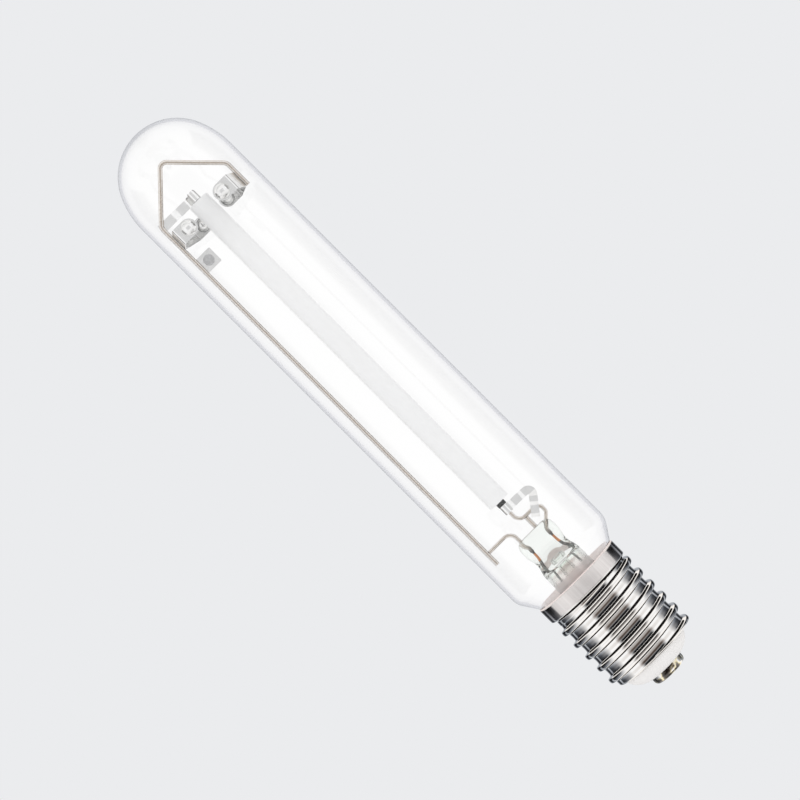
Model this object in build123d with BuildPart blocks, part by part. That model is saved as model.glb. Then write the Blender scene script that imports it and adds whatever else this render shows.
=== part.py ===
from build123d import *
from math import atan2, cos, hypot, sin, sqrt
import os

# High pressure sodium lamp with a clear tubular outer bulb and a large Edison screw cap.
# The origin is on the lamp's axis, in the flat underside of the centre contact, with +Z
# along the axis towards the dome. The wire frame lies in the XZ plane.
# All sizes are in millimetres.

# Outer bulb, blown from one piece of clear hard glass
overall_length = 292.0
bulb_diameter = 48.0
bulb_wall = 1.2
crown_step = 1.0
crown_rise = 5.0
shoulder_above_cap = 8.3
shoulder_radius = 8.0
neck_corner_below_cap = 3.6
neck_corner_radius = 5.0
neck_depth_in_cap = 9.2

# Screw cap: a thin rolled shell with a plain skirt above a coarse right-hand thread
cap_top_z = 52.2
cap_wall = 0.5
skirt_step = 1.6
skirt_length = 6.2
thread_crest_diameter = 39.4
thread_root_diameter = 35.6
thread_pitch = 6.35
thread_turns = 6.5
lowest_crest_above_rim = 0.85
ridge_half_width = 2.3
ridge_slope_half_width = 1.53
ridge_slope_height = 0.23
ridge_waist_half_width = 1.0
ridge_waist_height = 1.05
ridge_foot_depth = 0.35
skirt_shoulder_drop = 1.0
cap_rim_z = 10.0
rim_lip_width = 2.6

# Insulator, centre contact and the solder joints of the cap
insulator_flange_height = 2.0
insulator_wall = 3.0
insulator_step = 0.6
insulator_foot_ledge = 0.5
insulator_belly_diameter = 24.4
insulator_belly_z = 5.2
contact_diameter = 15.0
contact_height = 3.4
contact_edge_radius = 1.8
contact_wall = 0.5
contact_hole_diameter = 3.0
solder_ball_diameter = 3.0
side_solder_z = 36.25
cement_bead_height = 1.4
cement_bead_slope = 0.7
cement_rim_cover = 0.37
cement_depth = 8.2
neck_clearance = 1.1

# Stem: a flared glass tube whose top is pinched flat around the two leads
stem_tube_diameter = 18.0
stem_tube_wall = 1.4
flare_start_z = 54.0
flare_rim_thickness = 1.4
flare_throat_gap = 0.3
stem_tube_top_z = 60.5
pinch_z = 65.5
pinch_width = 15.4
pinch_thickness = 6.4
pinch_edge_radius = 2.9
press_z = 70.0
press_top_z = 76.6
press_width = 17.2
press_thickness = 8.0
press_edge_radius = 2.8
press_corner_radius = 3.4
stem_bore_top_z = 62.0
pump_hole_z = 65.6
pump_hole_width = 5.6
pump_hole_height = 3.0
pump_hole_x = -0.9
exhaust_tube_diameter = 5.6
exhaust_tube_bore = 3.4
exhaust_tip_z = 22.0
exhaust_tip_radius = 2.4

# Wires
lead_diameter = 1.4
frame_wire_diameter = 1.8
seal_wire_diameter = 0.9
cap_wire_diameter = 0.9
post_diameter = 1.7
post_x = 2.45
fit_gap = 0.03

# Frame: one bent wire, a long run at -X, a short run at +X and a pointed top
long_run_x = -18.2
short_run_x = 17.4
frame_foot_z = 76.6
frame_bend_above_arc_tube = 2.7
frame_apex_x = -0.65
frame_apex_below_dome = 14.0
short_run_end_below_arc_tube = 9.0
frame_bend_radius = 3.0
frame_apex_radius = 2.5
weld_z = 82.1

# Leads in the stem, each with a jog near the top of the press
left_lead_x = -5.0
left_lead_upper_x = -5.8
left_jog_bottom_z = 72.6
left_jog_top_z = 74.0
right_lead_x = 4.7
right_jog_bottom_z = 73.2
right_jog_top_z = 78.1
lead_joint_z = 70.6
seal_wire_length = 4.8
guide_wire_level_z = 82.3
guide_wire_side_x = 9.6
guide_tip_below_arc_tube = 1.0
frame_lead_bends = (3.6, 1.2, 1.2)
guide_wire_bends = (1.6, 1.8, 2.6, 3.2)

# Leads below the stem: one to the side of the shell, one down to the centre contact
shell_lead_straight = 2.0
shell_lead_drift = 0.3
shell_lead_bend_x = -6.6
shell_lead_bend_above_solder = 2.2
shell_lead_bends = (4.0, 4.0, 2.0)
contact_lead_straight = 1.6
contact_lead_jog = 1.0
contact_lead_jog_bottom_z = 60.8
contact_lead_bend_z = 28.0
contact_lead_bend_above_insulator = 1.4
contact_lead_bends = (1.5, 1.5, 6.0, 4.0)

# Arc tube of sintered alumina with its ends closed by plugs and niobium tubes
arc_axis_x = -0.7
arc_tube_diameter = 9.1
arc_tube_wall = 0.75
arc_tube_bottom_z = 93.2
arc_tube_top_below_dome = 35.0
plug_length = 5.0
niobium_diameter = 3.2
niobium_wall = 0.3
niobium_inner_reach = 0.8
lower_niobium_length = 5.7
upper_niobium_length = 4.6
frit_ring_width = 0.27
lower_frit_height = 1.9
upper_frit_height = 0.4
electrode_diameter = 1.1
electrode_length = 9.0
coil_wire_diameter = 0.5
coil_pitch = 0.62
coil_turns = 8
coil_from_tip = 1.0
amalgam_radius = 1.0

# Ribbons of thin nickel strip
ribbon_thickness = 0.22
ribbon_width = 3.3
collar_height = 3.7
ribbon_bend_x = 12.9
ribbon_droop = 0.3
ribbon_end_x = 5.2
ribbon_end_z = 79.3
ribbon_bend_radius = 1.9
strap_height = 3.8
strap_overhang = 0.7
strap_corner_cut = 2.4

# Dome springs that centre the frame in the bulb
spring_width = 7.1
spring_thickness = 0.25
spring_flat = 1.6
spring_fold_radius = 0.9
spring_heel_radius = 2.0
spring_tab_reach = 5.1
dimple_radius = 3.1
glass_gap = 0.3
right_spring_below_arc_tube_top = 5.4
left_spring_below_arc_tube_top = 6.2
right_dimple_x = 8.2
left_front_dimple_x = -10.4
left_rear_dimple_x = -6.0

# Getter: a pressed holder on the long run with a round pellet
getter_width = 8.3
getter_height = 7.1
getter_overlap = 1.4
getter_thickness = 0.25
getter_corner_radius = 0.5
getter_below_arc_tube_top = 18.85
getter_pellet_x = -13.9
pellet_diameter = 4.4
pellet_thickness = 0.5
getter_rim_width = 0.8
getter_rim_height = 0.45

# Sizes that follow from the ones above
bulb_radius = bulb_diameter / 2
bulb_inner_radius = bulb_radius - bulb_wall
crown_radius = bulb_radius - crown_step
straight_wall_top_z = overall_length - crown_radius - crown_rise
flank_radius = (bulb_radius**2 + crown_rise**2 - crown_radius**2) / (2 * crown_step)
neck_end_z = cap_top_z - neck_depth_in_cap
skirt_bottom_z = cap_top_z - skirt_length
root_radius = thread_root_diameter / 2
ridge_height = (thread_crest_diameter - thread_root_diameter) / 2
skirt_radius = root_radius + skirt_step
shell_bore_radius = root_radius - cap_wall
neck_radius = shell_bore_radius - neck_clearance
insulator_top_z = cap_rim_z + cap_wall + insulator_flange_height
contact_radius = contact_diameter / 2
stem_radius = stem_tube_diameter / 2
stem_bore_radius = stem_radius - stem_tube_wall
niobium_radius = niobium_diameter / 2
arc_tube_top_z = overall_length - arc_tube_top_below_dome
arc_tube_length = arc_tube_top_z - arc_tube_bottom_z
frame_bend_z = arc_tube_top_z + frame_bend_above_arc_tube
short_run_end_z = arc_tube_top_z - short_run_end_below_arc_tube
right_spring_z = arc_tube_top_z - right_spring_below_arc_tube_top
left_spring_z = arc_tube_top_z - left_spring_below_arc_tube_top
getter_z = arc_tube_top_z - getter_below_arc_tube_top
seal_wire_end_z = lead_joint_z - seal_wire_length

os.makedirs("parts", exist_ok=True)


def save(piece, name):
    """Name a finished piece and write it to its own file."""
    piece.part.label = name
    export_step(piece.part, f"parts/{name}.step")


def wire_along(points, radii, diameter):
    """A round wire in the XZ plane: straight runs joined by tangent bends."""
    with BuildPart() as wire:
        with BuildLine(Plane.XZ) as route:
            FilletPolyline(*points, radius=radii)
        with BuildSketch(Plane(route.line @ 0, z_dir=route.line % 0)):
            Circle(diameter / 2)
        sweep(path=route.line)
    return wire


def collar(outer_radius, inner_radius, bottom_z, height, x=0.0):
    """A plain ring around an upright axis."""
    with BuildPart() as ring:
        with BuildSketch(Plane.XY.offset(bottom_z)):
            with Locations((x, 0)):
                Circle(outer_radius)
                Circle(inner_radius, mode=Mode.SUBTRACT)
        extrude(amount=height)
    return ring


# Routes of the bent wires, as corners in the XZ plane
frame_lead_route = (
    (long_run_x + frame_wire_diameter / 2 + fit_gap, weld_z),
    (left_lead_upper_x, weld_z),
    (left_lead_upper_x, left_jog_top_z),
    (left_lead_x, left_jog_bottom_z),
    (left_lead_x, lead_joint_z),
)
guide_wire_route = (
    (right_lead_x, lead_joint_z),
    (right_lead_x, right_jog_bottom_z),
    (guide_wire_side_x, right_jog_top_z),
    (guide_wire_side_x, guide_wire_level_z),
    (arc_axis_x, guide_wire_level_z),
    (arc_axis_x, arc_tube_bottom_z - guide_tip_below_arc_tube),
)


# Outer bulb: a straight tube with a domed end, drawn in at the shoulder to a neck
with BuildPart() as outer_bulb:
    with BuildSketch(Plane.XZ):
        with BuildLine():
            flank_centre_x = bulb_radius - flank_radius
            join_scale = crown_radius / hypot(flank_centre_x, crown_rise)
            crown_centre_z = straight_wall_top_z + crown_rise
            join_point = (-flank_centre_x * join_scale, crown_centre_z + crown_rise * join_scale)
            half_angle = atan2(crown_rise, -flank_centre_x) / 2
            flank_middle = (
                flank_centre_x + flank_radius * cos(half_angle),
                straight_wall_top_z + flank_radius * sin(half_angle),
            )
            crown_angle = atan2(join_point[1] - crown_centre_z, join_point[0])
            crown_middle_angle = (crown_angle + atan2(1, 0)) / 2
            crown_middle = (
                crown_radius * cos(crown_middle_angle),
                crown_centre_z + crown_radius * sin(crown_middle_angle),
            )
            wall = FilletPolyline(
                (neck_radius, neck_end_z),
                (neck_radius, cap_top_z - neck_corner_below_cap),
                (bulb_radius, cap_top_z + shoulder_above_cap),
                (bulb_radius, straight_wall_top_z),
                radius=(neck_corner_radius, shoulder_radius),
            )
            ThreePointArc(wall @ 1, flank_middle, join_point)
            ThreePointArc(join_point, crown_middle, (0, overall_length))
            Line((0, overall_length), (0, neck_end_z))
            Line((0, neck_end_z), wall @ 0)
        make_face()
    revolve(axis=Axis.Z)
    offset(amount=-bulb_wall, openings=outer_bulb.faces().sort_by(Axis.Z)[0])
save(outer_bulb, "outer_bulb")


# Leads above the pinch
frame_lead = wire_along(frame_lead_route, frame_lead_bends, lead_diameter)
save(frame_lead, "frame_lead")
guide_wire = wire_along(guide_wire_route, guide_wire_bends, lead_diameter)
save(guide_wire, "guide_wire")


def straight_wire(x, bottom_z, top_z, diameter):
    """An upright piece of wire."""
    with BuildPart() as wire:
        with BuildSketch(Plane.XY.offset(bottom_z)):
            with Locations((x, 0)):
                Circle(diameter / 2)
        extrude(amount=top_z - bottom_z)
    return wire


frame_seal_wire = straight_wire(left_lead_x, seal_wire_end_z, lead_joint_z, seal_wire_diameter)
save(frame_seal_wire, "frame_seal_wire")
guide_seal_wire = straight_wire(right_lead_x, seal_wire_end_z, lead_joint_z, seal_wire_diameter)
save(guide_seal_wire, "guide_seal_wire")

# Post that props the guide wire from the top of the press
post_top_z = guide_wire_level_z - lead_diameter / 2 - fit_gap
center_post = straight_wire(post_x, press_top_z, post_top_z, post_diameter)
save(center_post, "center_post")

# Leads below the pinch, down into the cap
shell_lead_route = (
    (left_lead_x, seal_wire_end_z),
    (left_lead_x, seal_wire_end_z - shell_lead_straight),
    (left_lead_x - shell_lead_drift, neck_end_z),
    (shell_lead_bend_x, side_solder_z + shell_lead_bend_above_solder),
    (-shell_bore_radius + solder_ball_diameter / 4, side_solder_z),
)
shell_lead_wire = wire_along(shell_lead_route, shell_lead_bends, cap_wire_diameter)
save(shell_lead_wire, "shell_lead_wire")
contact_lead_route = (
    (right_lead_x, seal_wire_end_z),
    (right_lead_x, seal_wire_end_z - contact_lead_straight),
    (right_lead_x + contact_lead_jog, contact_lead_jog_bottom_z),
    (right_lead_x + contact_lead_jog, contact_lead_bend_z),
    (0, insulator_top_z + contact_lead_bend_above_insulator),
    (0, contact_wall / 2),
)
contact_lead_wire = wire_along(contact_lead_route, contact_lead_bends, cap_wire_diameter)
save(contact_lead_wire, "contact_lead_wire")


# Stem glass: flare, tube, pinch and press in one piece, sealed around the wires
wire_room = 2 * fit_gap
lead_channels = (
    wire_along(frame_lead_route, frame_lead_bends, lead_diameter + wire_room).part,
    wire_along(guide_wire_route, guide_wire_bends, lead_diameter + wire_room).part,
    straight_wire(left_lead_x, seal_wire_end_z, lead_joint_z, seal_wire_diameter + wire_room).part,
    straight_wire(right_lead_x, seal_wire_end_z, lead_joint_z, seal_wire_diameter + wire_room).part,
    wire_along(shell_lead_route, shell_lead_bends, cap_wire_diameter + wire_room).part,
    wire_along(contact_lead_route, contact_lead_bends, cap_wire_diameter + wire_room).part,
)
neck_bore_radius = neck_radius - bulb_wall
with BuildPart() as stem_glass:
    with BuildSketch(Plane.XZ):
        with BuildLine():
            throat = (neck_bore_radius - flare_throat_gap, neck_end_z)
            rim_underside_z = neck_end_z - flare_rim_thickness
            TangentArc((stem_radius, flare_start_z), throat, tangent=(0, -1))
            Polyline(throat, (neck_radius, neck_end_z), (neck_radius, rim_underside_z))
            Line((neck_radius, rim_underside_z), (neck_bore_radius - stem_tube_wall, rim_underside_z))
            TangentArc(
                (stem_bore_radius, flare_start_z),
                (neck_bore_radius - stem_tube_wall, rim_underside_z),
                tangent=(0, -1),
            )
            Line((stem_bore_radius, flare_start_z), (stem_bore_radius, stem_tube_top_z))
            Line((stem_bore_radius, stem_tube_top_z), (stem_radius, stem_tube_top_z))
            Line((stem_radius, stem_tube_top_z), (stem_radius, flare_start_z))
        make_face()
    revolve(axis=Axis.Z)
    with BuildSketch(Plane.XY.offset(stem_tube_top_z)):
        Circle(stem_radius)
    with BuildSketch(Plane.XY.offset(pinch_z)):
        RectangleRounded(pinch_width, pinch_thickness, pinch_edge_radius)
    loft()
    with BuildSketch(Plane.XY.offset(pinch_z)):
        RectangleRounded(pinch_width, pinch_thickness, pinch_edge_radius)
    with BuildSketch(Plane.XY.offset(press_z)):
        RectangleRounded(press_width, press_thickness, press_edge_radius)
    loft()
    with BuildSketch(Plane.XZ):
        with Locations((0, (press_z + press_top_z - press_corner_radius) / 2)):
            RectangleRounded(press_width, press_top_z - press_z + press_corner_radius, press_corner_radius)
        with Locations((0, press_z - press_corner_radius / 2)):
            Rectangle(press_width, press_corner_radius, mode=Mode.SUBTRACT)
    extrude(amount=press_thickness / 2, both=True)
    with BuildSketch(Plane.XZ):
        Polygon(
            (0, stem_tube_top_z),
            (stem_bore_radius, stem_tube_top_z),
            (exhaust_tube_diameter / 2 + fit_gap, stem_bore_top_z),
            (0, stem_bore_top_z),
            align=None,
        )
    revolve(axis=Axis.Z, mode=Mode.SUBTRACT)
    with BuildSketch(Plane.XY.offset(stem_bore_top_z)):
        Circle(exhaust_tube_bore / 2)
    extrude(amount=pump_hole_z - stem_bore_top_z, mode=Mode.SUBTRACT)
    with BuildSketch(Plane.XZ):
        with Locations((pump_hole_x, pump_hole_z)):
            Ellipse(pump_hole_width / 2, pump_hole_height / 2)
    extrude(amount=press_thickness, mode=Mode.SUBTRACT)
    for channel in lead_channels:
        add(channel, mode=Mode.SUBTRACT)
save(stem_glass, "stem_glass")

# Exhaust tube: the lamp is pumped through it, and its tip is melted shut inside the cap
with BuildPart() as exhaust_tube:
    with BuildSketch(Plane.XY.offset(exhaust_tip_z)):
        Circle(exhaust_tube_diameter / 2)
    extrude(amount=stem_bore_top_z - exhaust_tip_z)
    fillet(exhaust_tube.faces().sort_by(Axis.Z)[0].edges(), exhaust_tip_radius)
    with BuildSketch(Plane.XY.offset(exhaust_tip_z + exhaust_tube_diameter / 2)):
        Circle(exhaust_tube_bore / 2)
    extrude(until=Until.LAST, mode=Mode.SUBTRACT)
save(exhaust_tube, "exhaust_tube")


# Screw shell: thin sheet with the thread rolled into it, so that it shows inside as well
def shell_form(inset, bottom_z):
    """The solid form of the screw shell, with its wall moved inwards by inset."""
    barrel_radius = root_radius - inset
    first_crest_z = cap_rim_z + lowest_crest_above_rim - thread_pitch
    barrel_top_z = skirt_bottom_z - skirt_shoulder_drop / 2
    foot_radius = barrel_radius - ridge_foot_depth
    slope_radius = barrel_radius + ridge_slope_height
    waist_radius = barrel_radius + ridge_waist_height
    with BuildPart() as form:
        with BuildSketch(Plane.XY.offset(bottom_z - 2 * thread_pitch)):
            Circle(barrel_radius)
        extrude(amount=cap_top_z - bottom_z + 2 * thread_pitch)
        with BuildLine() as helix:
            Helix(thread_pitch, thread_turns * thread_pitch, barrel_radius, center=(0, 0, first_crest_z))
        with BuildSketch(Plane.XZ):
            with BuildLine():
                low_foot = (foot_radius, first_crest_z - ridge_half_width)
                low_waist = (waist_radius, first_crest_z - ridge_waist_half_width)
                high_waist = (waist_radius, first_crest_z + ridge_waist_half_width)
                high_foot = (foot_radius, first_crest_z + ridge_half_width)
                ThreePointArc(low_foot, (slope_radius, first_crest_z - ridge_slope_half_width), low_waist)
                ThreePointArc(low_waist, (barrel_radius + ridge_height, first_crest_z), high_waist)
                ThreePointArc(high_waist, (slope_radius, first_crest_z + ridge_slope_half_width), high_foot)
                Line(high_foot, low_foot)
            make_face()
        sweep(path=helix.line, is_frenet=True)
        with BuildSketch(Plane.XY.offset(bottom_z)):
            Circle(thread_crest_diameter)
        extrude(amount=barrel_top_z - bottom_z, mode=Mode.INTERSECT)
        with BuildSketch(Plane.XZ):
            Polygon(
                (0, skirt_bottom_z - skirt_shoulder_drop),
                (barrel_radius, skirt_bottom_z - skirt_shoulder_drop),
                (skirt_radius - inset, skirt_bottom_z),
                (skirt_radius - inset, cap_top_z),
                (0, cap_top_z),
                align=None,
            )
        revolve(axis=Axis.Z)
    return form


with BuildPart() as cap_shell:
    add(shell_form(0, cap_rim_z).part)
    add(shell_form(cap_wall, cap_rim_z + cap_wall).part, mode=Mode.SUBTRACT)
    with BuildSketch(Plane.XY.offset(cap_rim_z)):
        Circle(root_radius - rim_lip_width)
    extrude(amount=cap_wall, mode=Mode.SUBTRACT)
save(cap_shell, "cap_shell")

# Basing cement: fills the skirt around the neck and ends in a small bead at the rim
with BuildPart() as basing_cement:
    with BuildSketch(Plane.XZ):
        Polygon(
            (0, cap_top_z - cement_depth),
            (shell_bore_radius - fit_gap, cap_top_z - cement_depth),
            (shell_bore_radius - fit_gap, skirt_bottom_z - skirt_shoulder_drop),
            (skirt_radius - cap_wall - fit_gap, skirt_bottom_z),
            (skirt_radius - cap_wall - fit_gap, cap_top_z),
            (skirt_radius - cap_wall + cement_rim_cover, cap_top_z),
            (skirt_radius - cap_wall - cement_bead_slope, cap_top_z + cement_bead_height),
            (0, cap_top_z + cement_bead_height),
            align=None,
        )
    revolve(axis=Axis.Z)
    with BuildSketch(Plane.XZ):
        with BuildLine():
            neck_wall = FilletPolyline(
                (neck_radius + fit_gap, neck_end_z - cap_wall),
                (neck_radius + fit_gap, cap_top_z - neck_corner_below_cap),
                (bulb_radius + fit_gap, cap_top_z + shoulder_above_cap),
                radius=neck_corner_radius,
            )
            Line(neck_wall @ 1, (0, cap_top_z + shoulder_above_cap))
            Line((0, cap_top_z + shoulder_above_cap), (0, neck_end_z - cap_wall))
            Line((0, neck_end_z - cap_wall), neck_wall @ 0)
        make_face()
    revolve(axis=Axis.Z, mode=Mode.SUBTRACT)
save(basing_cement, "basing_cement")

# Insulator: a ceramic bowl whose flange is held by the shell's lip
boss_radius = contact_radius - contact_wall - fit_gap
insulator_radius = root_radius - rim_lip_width - fit_gap
with BuildPart() as cap_insulator:
    with BuildSketch(Plane.XZ):
        with BuildLine():
            flange_z = cap_rim_z + cap_wall
            bowl_top = (insulator_radius, cap_rim_z - insulator_step)
            bowl_foot = (contact_radius + insulator_foot_ledge, contact_height)
            Polyline(
                (0, insulator_top_z),
                (shell_bore_radius - fit_gap, insulator_top_z),
                (shell_bore_radius - fit_gap, flange_z),
                (insulator_radius, flange_z),
                bowl_top,
            )
            ThreePointArc(bowl_top, (insulator_belly_diameter / 2, insulator_belly_z), bowl_foot)
            Polyline(bowl_foot, (boss_radius, contact_height), (boss_radius, contact_edge_radius))
            Line((boss_radius, contact_edge_radius), (boss_radius - contact_edge_radius, contact_wall))
            Line((boss_radius - contact_edge_radius, contact_wall), (0, contact_wall))
            Line((0, contact_wall), (0, insulator_top_z))
        make_face()
    revolve(axis=Axis.Z)
    with BuildSketch(Plane.XZ):
        Polygon(
            (0, insulator_top_z),
            (insulator_radius - insulator_wall, insulator_top_z),
            (contact_radius, contact_height + insulator_wall),
            (0, contact_height + insulator_wall),
            align=None,
        )
    revolve(axis=Axis.Z, mode=Mode.SUBTRACT)
    with BuildSketch(Plane.XY):
        Circle(contact_hole_diameter / 2)
    extrude(amount=insulator_top_z, mode=Mode.SUBTRACT)
save(cap_insulator, "cap_insulator")

# Centre contact: a drawn cup that covers the foot of the insulator
with BuildPart() as center_contact:
    with BuildSketch(Plane.XY):
        Circle(contact_radius)
    extrude(amount=contact_height)
    fillet(center_contact.faces().sort_by(Axis.Z)[0].edges(), contact_edge_radius)
    offset(amount=-contact_wall, openings=center_contact.faces().sort_by(Axis.Z)[-1])
    with BuildSketch(Plane.XY):
        Circle(contact_hole_diameter / 2)
    extrude(amount=contact_wall, mode=Mode.SUBTRACT)
save(center_contact, "center_contact")

# Solder that holds the lead in the contact's hole, ground flush underneath
with BuildPart() as contact_solder:
    with BuildSketch(Plane.XY):
        Circle(contact_hole_diameter / 2 - fit_gap)
    extrude(amount=4 * contact_wall)
    add(
        wire_along(contact_lead_route, contact_lead_bends, cap_wire_diameter + wire_room).part,
        mode=Mode.SUBTRACT,
    )
save(contact_solder, "contact_solder")

# Solder that joins the other lead to the inside of the shell
with BuildPart() as side_solder:
    with Locations((-shell_bore_radius, 0, side_solder_z)):
        Sphere(solder_ball_diameter / 2)
    with BuildSketch(Plane.XY.offset(side_solder_z - solder_ball_diameter)):
        Circle(shell_bore_radius - fit_gap)
    extrude(amount=2 * solder_ball_diameter, mode=Mode.INTERSECT)
    add(
        wire_along(shell_lead_route, shell_lead_bends, cap_wire_diameter + wire_room).part,
        mode=Mode.SUBTRACT,
    )
save(side_solder, "side_solder")

# Frame wire: carries the arc tube and reaches up into the dome
frame_route = (
    (long_run_x, frame_foot_z),
    (long_run_x, frame_bend_z),
    (frame_apex_x, overall_length - frame_apex_below_dome),
    (short_run_x, frame_bend_z),
    (short_run_x, short_run_end_z),
)
frame_bends = (frame_bend_radius, frame_apex_radius, frame_bend_radius)
frame_wire = wire_along(frame_route, frame_bends, frame_wire_diameter)
save(frame_wire, "frame_wire")

# Arc tube: a translucent ceramic tube, closed at each end by a plug
arc_tube_body = collar(
    arc_tube_diameter / 2,
    arc_tube_diameter / 2 - arc_tube_wall,
    arc_tube_bottom_z,
    arc_tube_length,
    arc_axis_x,
)
save(arc_tube_body, "arc_tube_body")
plug_radius = arc_tube_diameter / 2 - arc_tube_wall - fit_gap
plug_bore = niobium_radius + fit_gap


def niobium_tube(outside_z, inside_z):
    """A niobium tube, open outside the arc tube and closed at its inner end."""
    with BuildPart() as tube:
        with BuildSketch(Plane.XY.offset(outside_z)):
            with Locations((arc_axis_x, 0)):
                Circle(niobium_radius)
        extrude(amount=inside_z - outside_z)
        with BuildSketch(Plane.XY.offset(outside_z)):
            with Locations((arc_axis_x, 0)):
                Circle(niobium_radius - niobium_wall)
        direction = 1 if inside_z > outside_z else -1
        extrude(amount=inside_z - outside_z - direction * niobium_wall, mode=Mode.SUBTRACT)
    return tube


def electrode_coil(bottom_z):
    """Tungsten wire wound in open turns on the electrode rod."""
    winding_radius = (electrode_diameter + coil_wire_diameter) / 2 + fit_gap
    with BuildPart() as coil:
        with BuildLine() as helix:
            Helix(coil_pitch, coil_turns * coil_pitch, winding_radius, center=(arc_axis_x, 0, bottom_z))
        with BuildSketch(Plane(helix.line @ 0, z_dir=helix.line % 0)):
            Circle(coil_wire_diameter / 2)
        sweep(path=helix.line, is_frenet=True)
    return coil


lower_inner_z = arc_tube_bottom_z + plug_length + niobium_inner_reach
upper_inner_z = arc_tube_top_z - plug_length - niobium_inner_reach
coil_length = coil_turns * coil_pitch
lower_end_plug = collar(plug_radius, plug_bore, arc_tube_bottom_z, plug_length, arc_axis_x)
save(lower_end_plug, "lower_end_plug")
upper_end_plug = collar(plug_radius, plug_bore, arc_tube_top_z - plug_length, plug_length, arc_axis_x)
save(upper_end_plug, "upper_end_plug")
lower_niobium_tube = niobium_tube(arc_tube_bottom_z - lower_niobium_length, lower_inner_z)
save(lower_niobium_tube, "lower_niobium_tube")
upper_niobium_tube = niobium_tube(arc_tube_top_z + upper_niobium_length, upper_inner_z)
save(upper_niobium_tube, "upper_niobium_tube")
frit_radius = niobium_radius + frit_ring_width
lower_frit_ring = collar(
    frit_radius, plug_bore, arc_tube_bottom_z - lower_frit_height, lower_frit_height, arc_axis_x
)
save(lower_frit_ring, "lower_frit_ring")
upper_frit_ring = collar(frit_radius, plug_bore, arc_tube_top_z, upper_frit_height, arc_axis_x)
save(upper_frit_ring, "upper_frit_ring")
lower_tip_z = lower_inner_z + electrode_length
upper_tip_z = upper_inner_z - electrode_length
save(straight_wire(arc_axis_x, lower_inner_z, lower_tip_z, electrode_diameter), "lower_electrode_rod")
save(straight_wire(arc_axis_x, upper_tip_z, upper_inner_z, electrode_diameter), "upper_electrode_rod")
save(electrode_coil(lower_tip_z - coil_from_tip - coil_length), "lower_electrode_coil")
save(electrode_coil(upper_tip_z + coil_from_tip), "upper_electrode_coil")

# Amalgam of sodium and mercury, a bead that lies on the lower plug
amalgam_offset = (niobium_radius + arc_tube_diameter / 2 - arc_tube_wall) / 2
with BuildPart() as amalgam_dose:
    with Locations((arc_axis_x + amalgam_offset, 0, arc_tube_bottom_z + plug_length)):
        Sphere(amalgam_radius, arc_size1=0, align=(Align.CENTER, Align.CENTER, Align.MIN))
save(amalgam_dose, "amalgam_dose")

# Flexible ribbon: wrapped around the lower niobium tube, its tail welded to the guide wire
collar_radius = niobium_radius + ribbon_thickness + fit_gap
ribbon_back_y = -(lead_diameter / 2 + fit_gap)
collar_top_z = arc_tube_bottom_z - lower_frit_height
ribbon_level_z = collar_top_z - collar_height / 2
with BuildPart() as flex_ribbon:
    with BuildSketch(Plane.XY.offset(collar_top_z - collar_height)):
        with Locations((arc_axis_x, 0)):
            Circle(collar_radius)
    extrude(amount=collar_height)
    with BuildSketch(Plane.XZ.offset(-ribbon_back_y)):
        with BuildLine():
            FilletPolyline(
                (arc_axis_x, ribbon_level_z),
                (ribbon_bend_x, ribbon_level_z - ribbon_droop),
                (ribbon_end_x, ribbon_end_z),
                radius=ribbon_bend_radius,
            )
        trace(line_width=ribbon_width)
    extrude(amount=ribbon_thickness)
    with BuildSketch(Plane.XY.offset(collar_top_z - collar_height)):
        with Locations((arc_axis_x, 0)):
            Circle(niobium_radius + fit_gap)
    extrude(amount=collar_height, mode=Mode.SUBTRACT)
save(flex_ribbon, "flex_ribbon")

# End strap: wrapped around the upper niobium tube and welded behind the long run
strap_bottom_z = arc_tube_top_z + upper_frit_height
strap_top_z = strap_bottom_z + strap_height
strap_end_x = long_run_x - strap_overhang
strap_front_y = frame_wire_diameter / 2 + fit_gap
with BuildPart() as end_strap:
    with BuildSketch(Plane.XY.offset(strap_bottom_z)):
        with Locations((arc_axis_x, 0)):
            Circle(collar_radius)
    extrude(amount=strap_height)
    with BuildSketch(Plane.XZ.offset(-strap_front_y)):
        Polygon(
            (arc_axis_x, strap_bottom_z),
            (arc_axis_x, strap_top_z),
            (strap_end_x + strap_corner_cut, strap_top_z),
            (strap_end_x, strap_top_z - strap_corner_cut),
            (strap_end_x, strap_bottom_z),
            align=None,
        )
    extrude(amount=-ribbon_thickness)
    with BuildSketch(Plane.XY.offset(strap_bottom_z)):
        with Locations((arc_axis_x, 0)):
            Circle(niobium_radius + fit_gap)
    extrude(amount=strap_height, mode=Mode.SUBTRACT)
save(end_strap, "end_strap")


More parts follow.
